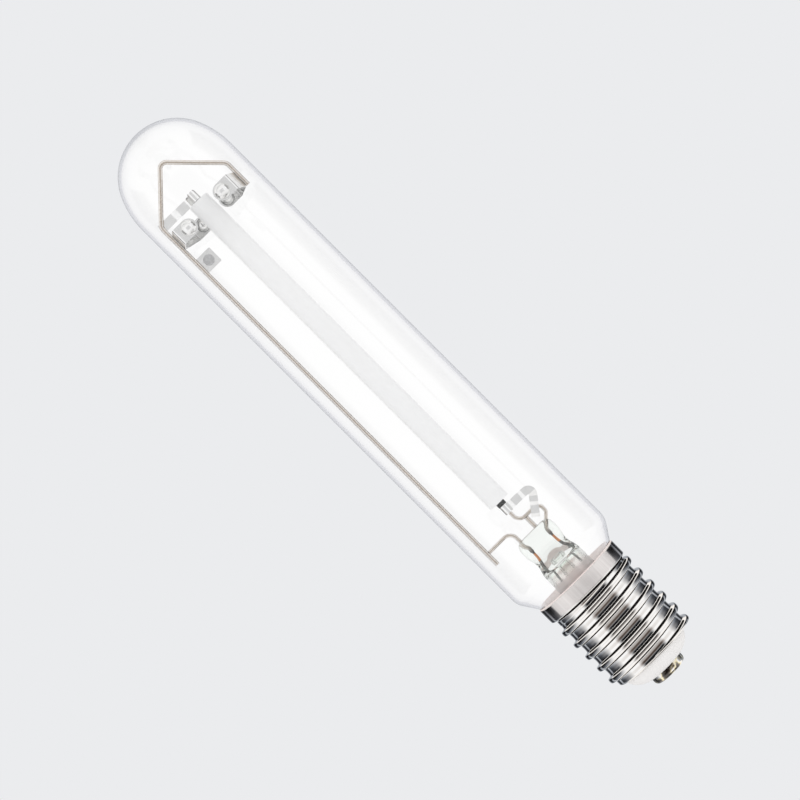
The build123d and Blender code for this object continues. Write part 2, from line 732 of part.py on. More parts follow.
# Dome springs: bent strips whose round dimples bear on the inside of the bulb
def dome_spring(run_x, front_dimple_x, rear_dimple_x, middle_z):
    """A C-shaped leaf spring with one dimple in front of the run and one behind it."""
    outward = 1 if run_x > 0 else -1
    heel_x = run_x - outward * (frame_wire_diameter / 2 + fit_gap + spring_thickness / 2)
    reach = bulb_inner_radius - glass_gap - dimple_radius
    front_y = -sqrt(reach**2 - front_dimple_x**2)
    rear_y = sqrt(reach**2 - rear_dimple_x**2)
    tabs = ((front_dimple_x, front_y), (rear_dimple_x, rear_y))
    with BuildPart() as spring:
        with BuildSketch(Plane.XY.offset(middle_z - spring_width / 2)):
            with BuildLine():
                FilletPolyline(
                    (front_dimple_x, front_y),
                    (front_dimple_x + outward * spring_tab_reach, front_y),
                    (heel_x, -spring_flat),
                    (heel_x, spring_flat),
                    (rear_dimple_x + outward * spring_tab_reach, rear_y),
                    (rear_dimple_x, rear_y),
                    radius=(spring_fold_radius, spring_heel_radius, spring_heel_radius, spring_fold_radius),
                )
            trace(line_width=spring_thickness)
        extrude(amount=spring_width)
        for dimple_x, tab_y in tabs:
            with BuildSketch(Plane.XZ.offset(-tab_y)):
                with Locations((dimple_x, middle_z)):
                    Circle(spring_width / 2)
            extrude(amount=spring_thickness / 2, both=True)
            with Locations((dimple_x, tab_y, middle_z)):
                Sphere(dimple_radius)
        for dimple_x, tab_y in tabs:
            side = 1 if tab_y > 0 else -1
            inner_face_y = tab_y - side * spring_thickness / 2
            with Locations((dimple_x, tab_y, middle_z)):
                Sphere(dimple_radius - spring_thickness, mode=Mode.SUBTRACT)
            with BuildSketch(Plane.XZ.offset(-inner_face_y)):
                with Locations((dimple_x, middle_z)):
                    Circle(dimple_radius + spring_thickness)
            extrude(amount=side * dimple_radius, mode=Mode.SUBTRACT)
    return spring


right_dome_spring = dome_spring(short_run_x, right_dimple_x, right_dimple_x, right_spring_z)
save(right_dome_spring, "right_dome_spring")
left_dome_spring = dome_spring(long_run_x, left_front_dimple_x, left_rear_dimple_x, left_spring_z)
save(left_dome_spring, "left_dome_spring")

# Getter holder: a flat pressing welded behind the long run, with a raised rim for the pellet
getter_front_y = frame_wire_diameter / 2 + fit_gap
getter_left_x = long_run_x + frame_wire_diameter / 2 - getter_overlap
with BuildPart() as getter_holder:
    with BuildSketch(Plane.XZ.offset(-getter_front_y)):
        with Locations((getter_left_x + getter_width / 2, getter_z)):
            RectangleRounded(getter_width, getter_height, getter_corner_radius)
    extrude(amount=-getter_thickness)
    with BuildSketch(Plane.XZ.offset(-getter_front_y)):
        with Locations((getter_pellet_x, getter_z)):
            Circle(pellet_diameter / 2 + getter_rim_width)
            Circle(pellet_diameter / 2 + fit_gap, mode=Mode.SUBTRACT)
    extrude(amount=getter_rim_height)
save(getter_holder, "getter_holder")
with BuildPart() as getter_pellet:
    with BuildSketch(Plane.XZ.offset(-getter_front_y)):
        with Locations((getter_pellet_x, getter_z)):
            Circle(pellet_diameter / 2)
    extrude(amount=pellet_thickness)
save(getter_pellet, "getter_pellet")
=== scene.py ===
import math

import bpy
from mathutils import Matrix, Vector


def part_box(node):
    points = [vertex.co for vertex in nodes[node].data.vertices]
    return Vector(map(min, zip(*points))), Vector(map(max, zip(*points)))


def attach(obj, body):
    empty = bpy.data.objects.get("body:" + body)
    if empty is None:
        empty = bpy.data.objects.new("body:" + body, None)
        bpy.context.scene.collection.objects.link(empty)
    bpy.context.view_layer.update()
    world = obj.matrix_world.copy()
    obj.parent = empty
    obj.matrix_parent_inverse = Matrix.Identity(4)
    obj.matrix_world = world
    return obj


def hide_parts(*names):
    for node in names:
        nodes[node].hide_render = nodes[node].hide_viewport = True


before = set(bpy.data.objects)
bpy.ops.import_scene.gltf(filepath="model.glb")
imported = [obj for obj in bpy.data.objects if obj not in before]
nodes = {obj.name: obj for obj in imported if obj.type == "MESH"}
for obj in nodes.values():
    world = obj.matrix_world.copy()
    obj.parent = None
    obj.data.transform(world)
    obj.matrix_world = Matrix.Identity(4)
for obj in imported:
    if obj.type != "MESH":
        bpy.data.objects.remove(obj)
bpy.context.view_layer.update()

MM = 0.001


# Camera. The lamp is looked at squarely from the side, with the picture turned by an eighth
# of a turn, so that the dome is up and left and the cap is down and right.
camera_distance = 1.109
camera_height = 0.14795
focal_length_mm = 129.6
sensor_width_mm = 36.0

camera_data = bpy.data.cameras.new("camera")
camera_data.lens = focal_length_mm
camera_data.sensor_width = sensor_width_mm
camera = bpy.data.objects.new("camera", camera_data)
picture_right = Vector((1, 0, -1)).normalized()
picture_up = Vector((1, 0, 1)).normalized()
towards_camera = Vector((0, -1, 0))
turned = Matrix((picture_right, picture_up, towards_camera)).transposed().to_4x4()
camera.matrix_world = Matrix.Translation((0, -camera_distance, camera_height)) @ turned
bpy.context.collection.objects.link(camera)
bpy.context.scene.camera = camera
bpy.context.scene.view_settings.view_transform = "Standard"


# Light tent. The lamp hangs in a tent of white cloth that is lit from outside. The camera looks
# in through a slot, grey and black cards hang at the sides, and the tent is open above and below.
# Polished metal shows all of them, and the parts inside the bulb see them paler through the glass.
ground_colour = "#ebecee"
tent_white = "#ffffff"

# The cards, as the cap shows them: the share of the way round from the camera to behind the
# lamp, then the colour below eye level, at eye level and above it.
cap_surroundings = (
    (0.00, "#a5a6aa", "#2e2622", "#2b2c30"),
    (0.22, "#f1efee", "#c9c2be", "#ffffff"),
    (0.26, "#ffffff", "#e8e4e1", "#ffffff"),
    (0.42, "#ffffff", "#f0eeec", "#ffffff"),
    (0.53, "#b4b6ba", "#8b8b8d", "#505257"),
    (0.63, "#858a92", "#4a4c51", "#0e0f11"),
    (0.71, "#5c6168", "#27292d", "#0a0a0c"),
    (0.75, "#e3e6ea", "#b8bcc3", "#62666d"),
    (0.79, "#5c6168", "#27292d", "#0a0a0c"),
    (0.86, "#5c6168", "#33363b", "#0a0a0c"),
    (0.94, "#d5d8dd", "#c2c5ca", "#8d9198"),
    (1.00, "#ffffff", "#ffffff", "#c9ccd1"),
)
# The slot, as the cap shows it: the share of its height from its foot, and the colour.
slot_surroundings = (
    (0.00, "#e6e4e2"),
    (0.10, "#bdbab8"),
    (0.30, "#a8a29e"),
    (0.41, "#6b5f58"),
    (0.47, "#453b36"),
    (0.53, "#6b625d"),
    (0.60, "#a3a09e"),
    (0.66, "#6b6c6f"),
    (0.73, "#1e2023"),
    (1.00, "#0b0c0d"),
)
# What the bulb's surface shows, and what the parts inside it show, by the share of the way round.
bulb_surroundings = (
    (0.00, "#ffffff"),
    (0.44, "#ffffff"),
    (0.54, "#f2f2f7"),
    (0.80, "#e8e8ed"),
    (0.90, "#dcdde1"),
    (1.00, "#d2d3d7"),
)
inner_surroundings = (
    (0.00, "#d3d3d3"),
    (0.15, "#d9d9d9"),
    (0.20, "#ffffff"),
    (0.43, "#ffffff"),
    (0.50, "#7b7978"),
    (0.66, "#5f5d5c"),
    (0.74, "#dfdfdf"),
    (1.00, "#ffffff"),
)
# The cloth above and below the cards, the open ends of the tent, and the deep creases where
# metal only shows more metal.
cap_cloth, cap_open_end, cap_crease = "#fffbf6", "#0d0d0f", "#1b1a1a"
inner_cloth, inner_open_end, inner_crease = "#fbfaf9", "#f1f1ef", "#dcdcda"

# Heights in the tent are the rise of a direction, from 0 at eye level to 1 straight up. The
# camera looks a little down on the cap, which shows everything that much lower.
cap_drop = 0.11
slot_half_height = 0.36
open_end = 0.76
height_blend = 0.10
slot_half_width = 0.17
slot_side_blend = 0.10
low_cards_end, low_cards_blend = -0.22, 0.20
high_cards_start, high_cards_blend = 0.02, 0.16


def linear(hex_colour):
    """A colour written as sRGB hex, as the linear values that Blender's sockets take."""
    levels = [int(hex_colour[i:i + 2], 16) / 255 for i in (1, 3, 5)]
    return [v / 12.92 if v <= 0.04045 else ((v + 0.055) / 1.055) ** 2.4 for v in levels] + [1.0]


def add_node(tree, kind, sockets=None, stops=(), **settings):
    """Add a node with its settings and colour stops, set or link its inputs, give its outputs."""
    node = tree.nodes.new(kind)
    for name, value in settings.items():
        setattr(node, name, value)
    for name, value in (sockets or {}).items():
        if isinstance(value, bpy.types.NodeSocket):
            tree.links.new(value, node.inputs[name])
        else:
            node.inputs[name].default_value = value
    if stops:
        elements = node.color_ramp.elements
        while len(elements) < len(stops):
            elements.new(0.5)
        for element, (place, colour) in zip(elements, stops):
            element.position = place
            element.color = linear(colour)
    return node.outputs


def layered(tree, colour, *layers):
    """Lay colours over a first one, each where a value passes from one level to another."""
    for value, start, end, above in layers:
        span = {"Value": value, "From Min": start, "From Max": end}
        shown = add_node(tree, "ShaderNodeMapRange", span, interpolation_type="SMOOTHSTEP")
        pair = {"Factor": shown["Result"], "A": colour, "B": above}
        colour = add_node(tree, "ShaderNodeMix", pair, data_type="RGBA")["Result"]
    return colour


world = bpy.data.worlds.new("light_tent")
bpy.context.scene.world = world
world.use_nodes = True
tree = world.node_tree
tree.nodes.clear()
direction = add_node(tree, "ShaderNodeTexCoord")["Generated"]
axes = add_node(tree, "ShaderNodeSeparateXYZ", {"Vector": direction})
sideways = add_node(tree, "ShaderNodeMath", {0: axes["X"]}, operation="ABSOLUTE")[0]
forwards = add_node(tree, "ShaderNodeMath", {0: axes["Y"], 1: -1.0}, operation="MULTIPLY")[0]
turn = add_node(tree, "ShaderNodeMath", {0: sideways, 1: forwards}, operation="ARCTAN2")[0]
way_round = add_node(tree, "ShaderNodeMath", {0: turn, 1: math.pi}, operation="DIVIDE")[0]
off_level = add_node(tree, "ShaderNodeMath", {0: axes["Z"]}, operation="ABSOLUTE")[0]
cap_level = add_node(tree, "ShaderNodeMath", {0: axes["Z"], 1: cap_drop}, operation="ADD")[0]
cap_off_level = add_node(tree, "ShaderNodeMath", {0: cap_level}, operation="ABSOLUTE")[0]
slot_span = {"Value": cap_level, "From Min": -slot_half_height, "From Max": slot_half_height}
slot_share = add_node(tree, "ShaderNodeMapRange", slot_span)["Result"]
path = add_node(tree, "ShaderNodeLightPath")

low_cards, level_cards, high_cards = (
    add_node(
        tree, "ShaderNodeValToRGB", {"Fac": way_round},
        stops=[(row[0], row[column]) for row in cap_surroundings],
    )["Color"]
    for column in (1, 2, 3)
)
slot_view = add_node(tree, "ShaderNodeValToRGB", {"Fac": slot_share}, stops=slot_surroundings)
bulb_tent = add_node(tree, "ShaderNodeValToRGB", {"Fac": way_round}, stops=bulb_surroundings)
inner_tent = add_node(tree, "ShaderNodeValToRGB", {"Fac": way_round}, stops=inner_surroundings)
cap_tent = layered(
    tree, low_cards,
    (cap_level, low_cards_end, low_cards_end + low_cards_blend, level_cards),
    (cap_level, high_cards_start, high_cards_start + high_cards_blend, high_cards),
    (way_round, slot_half_width + slot_side_blend, slot_half_width, slot_view["Color"]),
    (cap_off_level, slot_half_height, slot_half_height + height_blend, linear(cap_cloth)),
    (cap_off_level, open_end, open_end + height_blend, linear(cap_open_end)),
    (path["Glossy Depth"], 1.0, 2.0, linear(cap_crease)),
)
inner_tent = layered(
    tree, inner_tent["Color"],
    (off_level, slot_half_height, slot_half_height + height_blend, linear(inner_cloth)),
    (off_level, open_end, open_end + height_blend, linear(inner_open_end)),
    (path["Glossy Depth"], 1.0, 2.0, linear(inner_crease)),
)
# Clear glass mirrors the bulb's tent, rays that came in through both its surfaces see the inner
# one, light that mirrors nothing is plain white, and the camera sees the ground's colour.
seen = layered(
    tree, cap_tent,
    (path["Is Singular Ray"], 0.0, 1.0, bulb_tent["Color"]),
    (path["Transmission Depth"], 2.0, 3.0, inner_tent),
    (path["Glossy Depth"], 1.0, 0.0, linear(tent_white)),
    (path["Is Camera Ray"], 0.0, 1.0, linear(ground_colour)),
)
cloth = add_node(tree, "ShaderNodeBackground", {"Color": seen, "Strength": 1.0})
add_node(tree, "ShaderNodeOutputWorld", {"Surface": cloth[0]})


# Floor. A round pale table top well below the lamp, outside the main view. It is matt, and
# neither metal nor glass shows it.
floor_radius = 0.80
floor_depth = 0.25
floor_sides = 96

bpy.ops.mesh.primitive_circle_add(
    vertices=floor_sides, radius=floor_radius, fill_type="NGON", location=(0, 0, -floor_depth)
)
floor = bpy.context.object
floor.name = "floor"
floor_material = bpy.data.materials.new("matt_table_top")
floor_material.use_nodes = True
table_shader = floor_material.node_tree.nodes["Principled BSDF"]
table_shader.inputs["Base Color"].default_value = linear(ground_colour)
table_shader.inputs["Roughness"].default_value = 1.0
table_shader.inputs["Specular IOR Level"].default_value = 0.0
floor.data.materials.append(floor_material)
floor.visible_glossy = False
floor.visible_transmission = False


# Outer bulb. A tube of clear hard glass, domed at one end and drawn in to a neck at the other.
# It is blown and fire-polished, so it is perfectly smooth, and only its edges show.
glass_low, glass_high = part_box("outer_bulb")
bulb_radius = glass_high[0] / MM
dome_top = glass_high[2] / MM
neck_end = glass_low[2] / MM
bulb_wall = 1.2
crown_step = 1.0
crown_rise = 5.0
on_axis = 0.001
neck_radius = 16.2
neck_corner_z = 48.6
neck_bend_radius = 5.0
shoulder_z = 60.5
shoulder_bend_radius = 8.0
bulb_segments = 160
neck_bend_steps, shoulder_bend_steps = 10, 14
wall_steps, flank_steps, crown_steps = 24, 16, 28


def rounded_corner(before, corner, after, radius, steps):
    """Points on the arc of that radius which rounds a corner between two straight runs."""
    corner = Vector(corner)
    to_before = (Vector(before) - corner).normalized()
    to_after = (Vector(after) - corner).normalized()
    half_angle = to_before.angle(to_after) / 2
    reach = radius / math.tan(half_angle)
    centre = corner + (to_before + to_after).normalized() * radius / math.sin(half_angle)
    start = corner + to_before * reach - centre
    end = corner + to_after * reach - centre
    sweep = start.angle_signed(end)
    turns = [Matrix.Rotation(-sweep * (i / steps), 2) for i in range(steps + 1)]
    return [tuple(centre + turn @ start) for turn in turns]


def inner_wall(profile, wall):
    """The same outline moved in by the wall's thickness, from its last point to its first."""
    moved = []
    for i, point in enumerate(profile):
        ahead = Vector(profile[min(i + 1, len(profile) - 1)])
        behind = Vector(profile[max(i - 1, 0)])
        run = (ahead - behind).normalized()
        moved.append((max(point[0] - run.y * wall, 0.0), point[1] + run.x * wall))
    return moved[::-1]


def lathe(profile, segments):
    """Rings around the lamp's axis, one for each point of an outline of radius and height."""
    rings = []
    for radius, z in profile:
        if radius < on_axis:
            rings.append([(0.0, 0.0, z)])
            continue
        angles = [2 * math.pi * i / segments for i in range(segments)]
        rings.append([(radius * math.cos(a), radius * math.sin(a), z) for a in angles])
    return rings


def sections(rings, closed=False):
    """Points and faces of a skin over rings of equal length. A ring of one point is a pole."""
    points = []
    starts = []
    for ring in rings:
        starts.append(len(points))
        points.extend(ring)
    faces = []
    pairs = list(zip(range(len(rings)), range(1, len(rings))))
    if closed:
        pairs.append((len(rings) - 1, 0))
    for a, b in pairs:
        count = max(len(rings[a]), len(rings[b]))
        for i in range(count):
            j = (i + 1) % count
            corners = []
            for ring, place in ((a, i), (a, j), (b, j), (b, i)):
                corner = starts[ring] + (place if len(rings[ring]) > 1 else 0)
                if corner not in corners:
                    corners.append(corner)
            faces.append(corners)
    return points, faces


def new_piece(name, points, faces, slot, *replaced):
    """A smooth mesh piece from points in millimetres, riding on the lamp."""
    mesh = bpy.data.meshes.new(name)
    mesh.from_pydata([[c * MM for c in p] for p in points], [], faces)
    mesh.polygons.foreach_set("use_smooth", [True] * len(mesh.polygons))
    mesh.validate()
    piece = bpy.data.objects.new(name, mesh)
    bpy.context.collection.objects.link(piece)
    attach(piece, "root")
    if replaced:
        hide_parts(*replaced)
    return piece


# The outline runs from the neck's end up the side: the straight wall, a flank that draws it in
# a little, and the round crown.
crown_radius = bulb_radius - crown_step
wall_top = dome_top - crown_radius - crown_rise
flank_radius = (bulb_radius**2 + crown_rise**2 - crown_radius**2) / (2 * crown_step)
flank_centre = bulb_radius - flank_radius
join_angle = math.atan2(crown_rise, -flank_centre)
neck_foot = (neck_radius, neck_end)
neck_corner = (neck_radius, neck_corner_z)
shoulder_corner = (bulb_radius, shoulder_z)
outside = [neck_foot]
outside += rounded_corner(
    neck_foot, neck_corner, shoulder_corner, neck_bend_radius, neck_bend_steps
)
outside += rounded_corner(
    neck_corner, shoulder_corner, (bulb_radius, wall_top), shoulder_bend_radius, shoulder_bend_steps
)
wall_bottom = outside[-1][1]
for i in range(1, wall_steps):
    outside.append((bulb_radius, wall_bottom + (wall_top - wall_bottom) * i / wall_steps))
for i in range(flank_steps + 1):
    a = join_angle * i / flank_steps
    height = wall_top + flank_radius * math.sin(a)
    outside.append((flank_centre + flank_radius * math.cos(a), height))
for i in range(1, crown_steps + 1):
    a = join_angle + (math.pi / 2 - join_angle) * i / crown_steps
    height = wall_top + crown_rise + crown_radius * math.sin(a)
    outside.append((crown_radius * math.cos(a), height))
bulb_rings = lathe(outside, bulb_segments) + lathe(inner_wall(outside, bulb_wall), bulb_segments)
bulb = new_piece("blown_bulb", *sections(bulb_rings, closed=True), "clear_glass", "outer_bulb")


def new_material(name):
    """A node material with its shader node, for one finish."""
    material = bpy.data.materials.new(name)
    material.use_nodes = True
    return material, material.node_tree, material.node_tree.nodes["Principled BSDF"]


def let_light_through(tree, shader):
    """Let the light that falls on things behind the glass pass straight through it."""
    clear = add_node(tree, "ShaderNodeBsdfTransparent")
    rays = add_node(tree, "ShaderNodeLightPath")
    either = {0: rays["Is Shadow Ray"], 1: rays["Is Diffuse Ray"]}
    soft_rays = add_node(tree, "ShaderNodeMath", either, operation="MAXIMUM")[0]
    sides = {0: soft_rays, 1: shader.outputs[0], 2: clear[0]}
    through = add_node(tree, "ShaderNodeMixShader", sides)
    tree.links.new(through[0], tree.nodes["Material Output"].inputs["Surface"])


# Blown hard glass is colourless. Only at its outline, where the eye looks along the wall, is it
# a little grey.
hard_glass, tree, shader = new_material("blown_hard_glass")
shader.inputs["Transmission Weight"].default_value = 1.0
shader.inputs["Roughness"].default_value = 0.0
shader.inputs["IOR"].default_value = 1.47
shader.inputs["Specular IOR Level"].default_value = 0.35
edge_on = add_node(tree, "ShaderNodeLayerWeight", {"Blend": 0.5})["Facing"]
depth_stops = ((0.60, "#ffffff"), (0.90, "#fbfbfd"), (1.0, "#f1f1f4"))
depth_tint = add_node(tree, "ShaderNodeValToRGB", {"Fac": edge_on}, stops=depth_stops)
tree.links.new(depth_tint["Color"], shader.inputs["Base Color"])
let_light_through(tree, shader)
bulb.data.materials.append(hard_glass)


# Stem. A flared glass tube, pressed flat at its top around the wires and sealed to the neck at
# its rim. Pressed glass is clear, with soft edges that look dark.
flare_rim_bottom = 41.6
flare_rim_top = 43.0
stem_rows = (
    # height, half width along X, half width along Y, squareness
    (flare_rim_top, 14.7, 14.7, 2.0),
    (44.2, 13.3, 13.3, 2.0),
    (46.0, 11.6, 11.6, 2.0),
    (48.0, 10.3, 10.3, 2.0),
    (50.5, 9.4, 9.4, 2.0),
    (54.0, 9.0, 9.0, 2.0),
    (57.0, 9.0, 9.0, 2.0),
    (58.6, 9.0, 8.6, 2.0),
    (60.2, 8.9, 7.9, 2.1),
    (61.8, 8.6, 7.1, 2.3),
    (63.4, 8.1, 6.3, 2.5),
    (65.0, 7.8, 5.5, 2.8),
    (66.6, 7.85, 4.7, 3.2),
    (68.2, 8.25, 4.1, 3.5),
    (70.0, 8.6, 4.0, 3.8),
    (73.2, 8.6, 4.0, 3.8),
    (74.9, 8.25, 3.9, 3.6),
    (76.0, 7.2, 3.5, 3.2),
    (76.5, 5.8, 2.9, 2.8),
)
stem_top = 76.6
bore_top = 61.0
bore_rows = (
    (60.9, 2.6, 2.6, 2.0),
    (60.6, 4.4, 4.4, 2.0),
    (59.9, 6.7, 6.7, 2.0),
    (58.6, 7.6, 7.6, 2.0),
    (54.0, 7.6, 7.6, 2.0),
    (50.5, 8.0, 8.0, 2.0),
    (48.0, 8.9, 8.9, 2.0),
    (46.0, 10.2, 10.2, 2.0),
    (44.2, 11.9, 11.9, 2.0),
    (flare_rim_bottom, 13.6, 13.6, 2.0),
)
stem_segments = 96
stem_steps = 5
bore_steps = 4


def soft_rectangle(z, half_x, half_y, squareness):
    """A ring between an ellipse, at squareness 2, and a rectangle."""
    ring = []
    for i in range(stem_segments):
        a = 2 * math.pi * i / stem_segments
        c, s = math.cos(a), math.sin(a)
        x = math.copysign(abs(c) ** (2 / squareness), c) * half_x
        y = math.copysign(abs(s) ** (2 / squareness), s) * half_y
        ring.append((x, y, z))
    return ring


def between(t, a, b, c, d):
    """The value a share t of the way from b to c, on a smooth curve through four values."""
    curve = (2 * a - 5 * b + 4 * c - d) * t**2 + (3 * b - a - 3 * c + d) * t**3
    return 0.5 * (2 * b + (c - a) * t + curve)


def smoothed(rows, steps):
    """More rows between the given ones, on a smooth curve through them."""
    fine = []
    last = len(rows) - 1
    for i in range(last):
        four = [rows[min(max(j, 0), last)] for j in range(i - 1, i + 3)]
        for k in range(steps):
            fine.append(tuple(between(k / steps, *values) for values in zip(*four)))
    return fine + [rows[-1]]


stem_rings = [
    soft_rectangle(z, neck_radius, neck_radius, 2.0) for z in (flare_rim_bottom, flare_rim_top)
]
stem_rings += [soft_rectangle(*row) for row in smoothed(stem_rows, stem_steps)]
stem_rings += [[(0.0, 0.0, stem_top)]]
bore_rings = [[(0.0, 0.0, bore_top)]]
bore_rings += [soft_rectangle(*row) for row in smoothed(bore_rows, bore_steps)]
outer_points, outer_faces = sections(stem_rings)
bore_points, bore_faces = sections(bore_rings)
shift = len(outer_points)
stem_faces = outer_faces + [[corner + shift for corner in face] for face in bore_faces]
bore_rim = shift + len(bore_points) - stem_segments
for i in range(stem_segments):
    j = (i + 1) % stem_segments
    stem_faces.append([bore_rim + i, bore_rim + j, j, i])
stem = new_piece("pressed_stem", outer_points + bore_points, stem_faces, "stem_glass", "stem_glass")


def dress(material, *names):
    """Give CAD pieces a material in place of the one they came with."""
    for name in names:
        for material_slot in nodes[name].material_slots:
            material_slot.material = material


# Pressed lead glass is clear with a trace of green. The flare is fogged by the flame that sealed
# it, so it looks milky and a little pink below the pinch.
fog_top = 59.0
fog_depth = 6.0
fog_haze = 0.42
lead_glass, tree, shader = new_material("pressed_lead_glass")
shader.inputs["Transmission Weight"].default_value = 1.0
shader.inputs["IOR"].default_value = 1.5
coords = add_node(tree, "ShaderNodeTexCoord")["Object"]
stem_level = add_node(tree, "ShaderNodeSeparateXYZ", {"Vector": coords})["Z"]
clear_level, fogged_level = fog_top * MM, (fog_top - fog_depth) * MM
stem_tint = layered(
    tree, linear("#fafdfa"), (stem_level, clear_level, fogged_level, linear("#f3ecea"))
)
tree.links.new(stem_tint, shader.inputs["Base Color"])
span = {"Value": stem_level, "From Min": clear_level, "From Max": fogged_level, "To Max": fog_haze}
stem_haze = add_node(tree, "ShaderNodeMapRange", span, interpolation_type="SMOOTHSTEP")
tree.links.new(stem_haze["Result"], shader.inputs["Roughness"])
let_light_through(tree, shader)
stem.data.materials.append(lead_glass)
dress(lead_glass, "exhaust_tube")


# Screw shell. Thin brass sheet, rolled to a coarse right-hand thread with round ridges and
# shallow hollows between them, then plated with nickel. The thread fades out under the skirt,
# where the rolls ran off the sheet, and the skirt has a brushed satin finish.
shell_low, shell_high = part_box("cap_shell")
crest_radius = shell_high[0] / MM
cap_rim = shell_low[2] / MM
cap_top = shell_high[2] / MM
root_radius = 17.8
skirt_radius = 19.4
skirt_bottom = 46.0
skirt_slope = 1.3
thread_pitch = 6.35
first_crest = 4.5
last_turn = 6.5
run_out_turns = 0.45
ridge_half_width = 1.58
crest_round = 2.4
crest_half_width = 0.98
hollow_slope = math.tan(math.radians(10.5))
deepest_hollow = 0.14
shell_sheet = 0.5
rim_round = 0.8
lip_radius = 15.2
lip_bend_radius = 16.1
skirt_start_row = 0.4
skirt_edge_row = 0.3
skirt_edge_round = 0.12
shell_columns = 144
rows_per_pitch = 40
corner_steps = 6
slope_steps = 8


def eased(share):
    """A smooth step from 0 to 1."""
    share = min(max(share, 0.0), 1.0)
    return share * share * (3 - 2 * share)


def shell_radius(turn, z):
    """The radius of the shell's outside at a height, at a share of a turn from +X."""
    along = (z - first_crest) / thread_pitch - turn
    nearest = round(along)
    offset = abs(along - nearest) * thread_pitch
    full = 1 - eased((nearest + turn - (last_turn - run_out_turns)) / run_out_turns)
    crest_drop = crest_round - math.sqrt(crest_round**2 - min(offset, crest_half_width) ** 2)
    ridge = crest_radius - root_radius - crest_drop
    if crest_half_width <= offset < ridge_half_width:
        # The flank leaves the round crest with its slope, and meets the hollow with the hollow's.
        width = ridge_half_width - crest_half_width
        t = (offset - crest_half_width) / width
        crest_slope = crest_half_width / math.sqrt(crest_round**2 - crest_half_width**2)
        ridge *= 2 * t**3 - 3 * t**2 + 1
        ridge -= width * crest_slope * (t**3 - 2 * t**2 + t) + width * hollow_slope * (t**3 - t**2)
    elif offset >= ridge_half_width:
        hollow_half_width = thread_pitch / 2 - ridge_half_width
        t = (offset - ridge_half_width) / hollow_half_width
        ridge = -hollow_slope * hollow_half_width * (t - t**2 / 2)
    flare = (skirt_radius - root_radius) * eased((z - skirt_bottom + skirt_slope) / skirt_slope)
    return root_radius + max(ridge * full, flare - deepest_hollow * full)


def around(turn, radius, z):
    """A point at a share of a turn from +X."""
    return (radius * math.cos(2 * math.pi * turn), radius * math.sin(2 * math.pi * turn), z)


# The rows of the rolled part follow the ridges around. Rows that would pass its lower or upper
# edge end on that edge.
rolled_bottom = cap_rim + rim_round
rolled_top = skirt_bottom - skirt_slope
last_row = math.ceil((rolled_top - first_crest) / thread_pitch * rows_per_pitch) + 1
points = []
places = {}
faces = []


def rolled_corner(column, row):
    """The mesh point where a row meets a column, made when it is first asked for."""
    z = first_crest + thread_pitch * (row / rows_per_pitch + column / shell_columns)
    whole_turns, column = divmod(column, shell_columns)
    key = (column, row + rows_per_pitch * whole_turns)
    if z <= rolled_bottom:
        key = (column, "low")
    elif z >= rolled_top:
        key = (column, "high")
    if key not in places:
        places[key] = len(points)
        z = min(max(z, rolled_bottom), rolled_top)
        turn = column / shell_columns
        points.append(around(turn, shell_radius(turn, z), z))
    return places[key]


for column in range(shell_columns):
    for row in range(-rows_per_pitch, last_row):
        face = []
        for step_column, step_row in ((0, 0), (1, 0), (1, 1), (0, 1)):
            corner = rolled_corner(column + step_column, row + step_row)
            if corner not in face:
                face.append(corner)
        if len(face) > 2:
            faces.append(face)


def add_ring(z, inset=0.0, radius=None):
    """Add a ring of points at a height, on the shell or at a radius, and give their numbers."""
    first = len(points)
    for i in range(shell_columns):
        turn = i / shell_columns
        on_shell = shell_radius(turn, max(z, rolled_bottom))
        points.append(around(turn, radius or on_shell - inset, z))
    return list(range(first, len(points)))


def join_rings(rings):
    """Faces between closed rings of point numbers, each with the next."""
    for first, second in zip(rings, rings[1:]):
        for i in range(shell_columns):
            j = (i + 1) % shell_columns
            faces.append([first[i], first[j], second[j], second[i]])


# The lip and its rounded corner join on below, and the skirt above.
lower_rings = [add_ring(cap_rim, radius=r) for r in (lip_radius, lip_bend_radius)]
for step in range(corner_steps):
    a = math.pi / 2 * step / corner_steps
    lower_rings.append(
        add_ring(cap_rim + rim_round * (1 - math.cos(a)), inset=rim_round * (1 - math.sin(a)))
    )
join_rings(lower_rings + [[places[i, "low"] for i in range(shell_columns)]])
upper_rings = [[places[i, "high"] for i in range(shell_columns)]]
slope_rows = [rolled_top + skirt_slope * i / slope_steps for i in range(1, slope_steps + 1)]
for z in slope_rows + [skirt_bottom + skirt_start_row, cap_top - skirt_edge_row]:
    upper_rings.append(add_ring(z))
join_rings(upper_rings + [add_ring(cap_top, inset=skirt_edge_round)])
shell = new_piece("rolled_screw_shell", points, faces, "nickel_shell", "cap_shell")
sheet = shell.modifiers.new("sheet", "SOLIDIFY")
sheet.thickness = shell_sheet * MM
sheet.offset = -1

# Bright nickel plate is a clean mirror, a little wavy where the rolls pressed it. The skirt is
# brushed along the axis, so it is a soft grey that turns bright only at the edges of the view.
# Both sets of marks are drawn coarser than the real ones, which are too fine to show.
rolling_length, rolling_width = 16.7, 1.43
brush_length, brush_width = 16.7, 1.11
satin_start, satin_end = skirt_bottom - 0.2, skirt_bottom + 0.7
glancing_start, glancing_end = 0.31, 0.41
nickel_plate, tree, shader = new_material("bright_nickel_plate")
coords = add_node(tree, "ShaderNodeTexCoord")["Object"]
rolled_scale = [1 / (size * MM) for size in (rolling_length, rolling_length, rolling_width)]
stretched = add_node(tree, "ShaderNodeMapping", {"Vector": coords, "Scale": rolled_scale})[0]
marks = {"Vector": stretched, "Scale": 1.0, "Detail": 3.0}
rolling = add_node(tree, "ShaderNodeTexNoise", marks)["Fac"]
brushed_scale = [1 / (size * MM) for size in (brush_width, brush_width, brush_length)]
